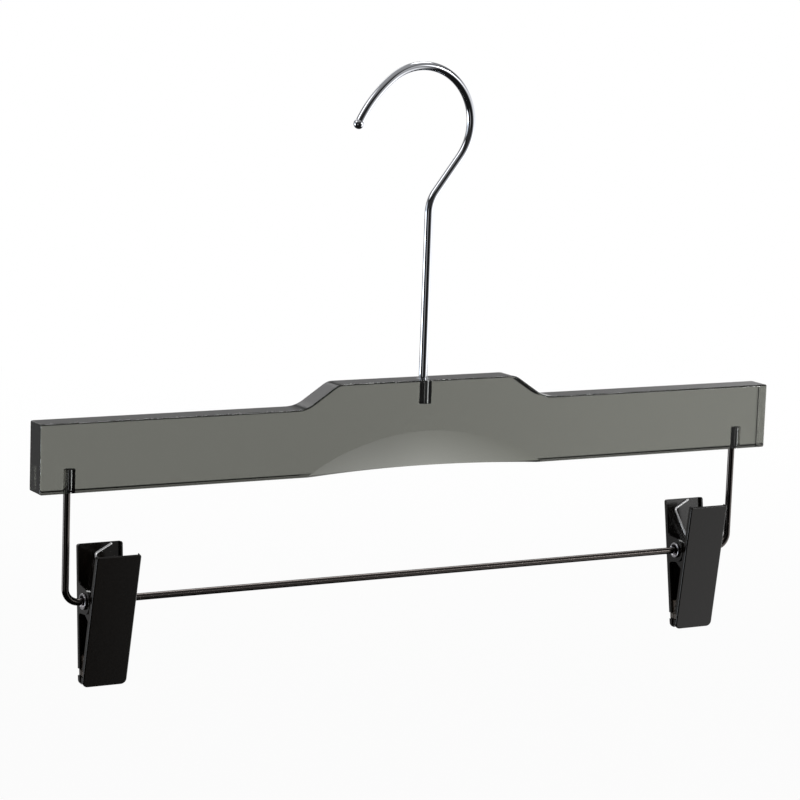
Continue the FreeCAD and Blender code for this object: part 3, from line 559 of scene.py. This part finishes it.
def wind_spring(hand, x, swing, shift):
    """A helix about X whose end tangents run on as straight arms, each with a rounded elbow and a bent end.

    The rear arm is worked out, and the front arm is the rear one turned half round the upright line.
    """
    wire_radius, coil, arm_lean, pitch, full_turns = 0.00045, 0.0031, np.radians(37.0), 0.00136, 4
    wire_gap, end_rise, end_length, elbow_reach = 0.00015, np.radians(27.0), 0.0084, 0.0012
    climb = pitch / (2 * np.pi)
    sweep = np.pi + 2 * arm_lean + full_turns * 2 * np.pi
    angle = np.linspace(-sweep / 2, sweep / 2, 360)
    helix = np.stack((climb * angle, coil * np.sin(angle), -coil * np.cos(angle)), axis=-1)
    start_heading = np.array((climb, coil * np.cos(angle[0]), coil * np.sin(angle[0])))
    start_heading /= np.linalg.norm(start_heading)
    face = np.array((0.0, np.cos(JAW_LEAN), -np.sin(JAW_LEAN)))
    up_jaw = np.array((0.0, np.sin(JAW_LEAN), np.cos(JAW_LEAN)))
    stand = JAW_INSIDE - wire_radius - wire_gap
    elbow = helix[0] - start_heading * (stand - helix[0] @ face) / (-start_heading @ face)
    leg = np.cos(end_rise) * np.array((1.0, 0.0, 0.0)) + np.sin(end_rise) * up_jaw
    end = elbow + end_length * leg
    t = np.linspace(0.0, 1.0, 14)[:, None]
    bend = elbow + elbow_reach * ((1 - t) ** 2 * leg + t ** 2 * start_heading)
    rear = np.concatenate((straight(end, bend[0], 12)[:-1], bend, straight(bend[-1], helix[0], 30)[1:-1]))
    front = rear[::-1] * (-1.0, -1.0, 1.0)
    path = about_pivot(np.concatenate((rear, helix, front)) + (shift, 0.0, 0.0), x, swing)
    points, faces = wire(path, wire_radius, (1.0, 0.0, 0.0), 14)
    spring = make_piece(hand + "_spring_wire", points, faces, spring_steel, 80)
    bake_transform(spring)
    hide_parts(hand + "_spring")


spring_steel = polish("spring_steel", (0.80, 0.80, 0.81), 0.25, 2400.0, 0.6)
for clip in CLIPS:
    wind_spring(*clip)


# The pads are moulded from dark brown rubber, a wedge in the tip of each jaw with grooves across its grip.
# Two side tabs stand in the notches of the jaw's lips and hold it.
def moulded_rubber():
    """Dark satin rubber with a fine grain and paler rubbed places."""
    material = bpy.data.materials.new("pad_rubber")
    nodes, links = node_tree(material)
    skin = nodes.new("ShaderNodeBsdfPrincipled")
    cloud = noise(nodes, links, nodes.new("ShaderNodeTexCoord").outputs["Object"], 350.0, 5.0)
    tone = mixed(nodes, links, cloud, (0.030, 0.024, 0.020), (0.085, 0.068, 0.055))
    links.new(tone, skin.inputs["Base Color"])
    links.new(ramp(nodes, links, cloud, 0.3, 0.7, 0.25, 0.45), skin.inputs["Roughness"])
    links.new(bumped(nodes, links, cloud, 0.1, 0.0001), skin.inputs["Normal"])
    out = nodes.new("ShaderNodeOutputMaterial")
    links.new(skin.outputs["BSDF"], out.inputs["Surface"])
    return material


def bar_of(outline, half_width):
    """An outline in the YZ plane carried along X, drawn in a little towards its middle at both ends."""
    along = half_width * np.array((-1.0, -0.985, -0.95, 0.95, 0.985, 1.0))
    share = np.array((0.90, 0.97, 1.0, 1.0, 0.97, 0.90))
    middle = outline.mean(axis=0)
    flat = middle + share[:, None, None] * (outline - middle)[None]
    points = np.concatenate((np.broadcast_to(along[:, None, None], flat.shape[:2] + (1,)), flat), axis=-1)
    count = len(outline)
    faces = grid_faces(6, count, False, True)
    faces += [list(range(count)), list(range(5 * count, 6 * count))]
    return points.reshape(-1, 3), faces


def mould_pad(hand, kind, x, swing):
    """A wedge from its grooved face to its leaning back, and a wider block at the height of the notches."""
    side = 1.0 if kind == "rear" else -1.0
    top, low, grip, back = 0.024, 0.0348, 0.00015, 0.00698
    half_width, tab_half_width, ribs = 0.0088, 0.0096, 5
    groove_half, groove_depth = 0.0006, 0.0005
    notch_top, notch_low, notch_gap, lip_inside = 0.0288, 0.0317, 0.0002, 0.0056

    def back_at(depth):
        """The distance of the jaw's leaning plate at a depth below the pivot."""
        return (back - depth * np.sin(JAW_LEAN)) / np.cos(JAW_LEAN)

    middles = top + (low - top) / ribs * np.arange(1, ribs)
    shelf = np.full_like(middles, grip)
    grooves = np.stack((np.stack((shelf, middles - groove_half), -1),
                        np.stack((shelf + groove_depth, middles), -1),
                        np.stack((shelf, middles + groove_half), -1)), axis=1).reshape(-1, 2)
    wedge = np.concatenate(([(back_at(top), top), (grip, top)], grooves, [(grip, low), (back_at(low), low)]))
    tab_top = notch_top * np.cos(JAW_LEAN) + JAW_INSIDE * np.sin(JAW_LEAN) + notch_gap
    tab_low = notch_low * np.cos(JAW_LEAN) + lip_inside * np.sin(JAW_LEAN) - notch_gap
    tab = np.array([(back_at(tab_top), tab_top), (grip, tab_top),
                    (grip, tab_low), (back_at(tab_low), tab_low)])
    block, block_faces = bar_of(rounded(wedge, 0.00025, 4) * (side, -1.0), half_width)
    tabs, tab_faces = bar_of(rounded(tab, 0.0003, 4) * (side, -1.0), tab_half_width)
    faces = block_faces + [[i + len(block) for i in face] for face in tab_faces]
    points = about_pivot(np.concatenate((block, tabs)), x, swing)
    pad = make_piece("%s_%s_grip" % (hand, kind), points, faces, rubber, 50)
    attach(pad, "%s_%s_jaw" % (hand, kind))
    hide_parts("%s_%s_pad" % (hand, kind))


rubber = moulded_rubber()
for hand, x, swing, _ in CLIPS:
    mould_pad(hand, "rear", x, swing)
    mould_pad(hand, "front", x, swing)
